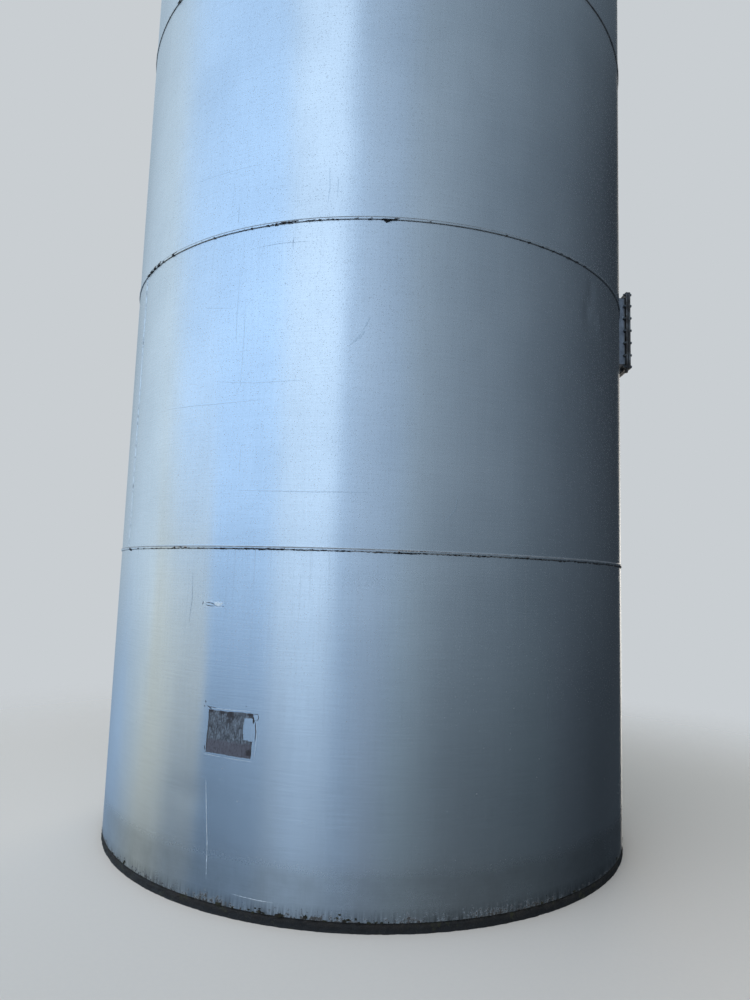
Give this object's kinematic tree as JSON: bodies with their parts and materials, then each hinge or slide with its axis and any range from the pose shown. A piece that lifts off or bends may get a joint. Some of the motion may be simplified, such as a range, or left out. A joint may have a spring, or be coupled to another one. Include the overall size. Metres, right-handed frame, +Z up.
{
  "type": "skirted storage silo",
  "caption": "Round welded aluminium storage silo with lapped courses, inner hopper cone, cone roof, bolted side hatch and a hinged walk-in skirt door.",
  "frame": {"origin": "on the shell's axis at ground level, in the plane of the grout bed's underside", "axes": "+Z up along the shell's axis, +X out through the side hatch, +Y out through the skirt door, -Y the pictured side"},
  "size_m": [3.769, 3.7545, 13.4019],
  "materials": {
    "shell_plate": "satin mill finish, weathered",
    "welded_plate": "dull, welded and weathered",
    "grout": "matt cement grout, damp and mossy",
    "gasket": "matt",
    "hardware": "galvanised, dulled"
  },
  "bodies": {
    "silo_body": {"grout_ring": "grout", "base_angle_ring": "welded_plate", "course_1_front_plate": "shell_plate", "course_1_rear_plate": "shell_plate", "course_2_front_plate": "shell_plate", "course_2_rear_plate": "shell_plate", "course_3_front_plate": "shell_plate", "course_3_rear_plate": "shell_plate", "course_4_front_plate": "shell_plate", "course_4_rear_plate": "shell_plate", "course_5_front_plate": "shell_plate", "course_5_rear_plate": "shell_plate", "course_6_front_plate": "shell_plate", "course_6_rear_plate": "shell_plate", "course_7_front_plate": "shell_plate", "course_7_rear_plate": "shell_plate", "hopper_cone": "shell_plate", "outlet_spout": "welded_plate", "eave_angle_ring": "welded_plate", "roof_deck": "shell_plate", "manway_neck": "welded_plate", "manway_lid": "shell_plate", "hatch_neck": "welded_plate", "hatch_gasket": "gasket", "hatch_frame": "welded_plate", "hatch_panel": "shell_plate", "door_frame": "welded_plate", "door_hinge_1_frame_half": "hardware", "door_hinge_2_frame_half": "hardware", "door_hinge_3_frame_half": "hardware", "lifting_lug_1": "welded_plate", "lifting_lug_2": "welded_plate", "lifting_lug_3": "welded_plate", "lifting_lug_4": "welded_plate"},
    "door": {"door_leaf": "shell_plate", "door_hinge_1_leaf_half": "hardware", "door_hinge_2_leaf_half": "hardware", "door_hinge_3_leaf_half": "hardware", "door_latch": "hardware"}
  },
  "joints": [
    {"name": "door_swing", "type": "hinge", "parent": "silo_body", "child": "door", "pos_m": [0.4665, 1.886, 1.21], "axis": [0, 0, -1], "range_deg": [0, 110]}
  ]
}
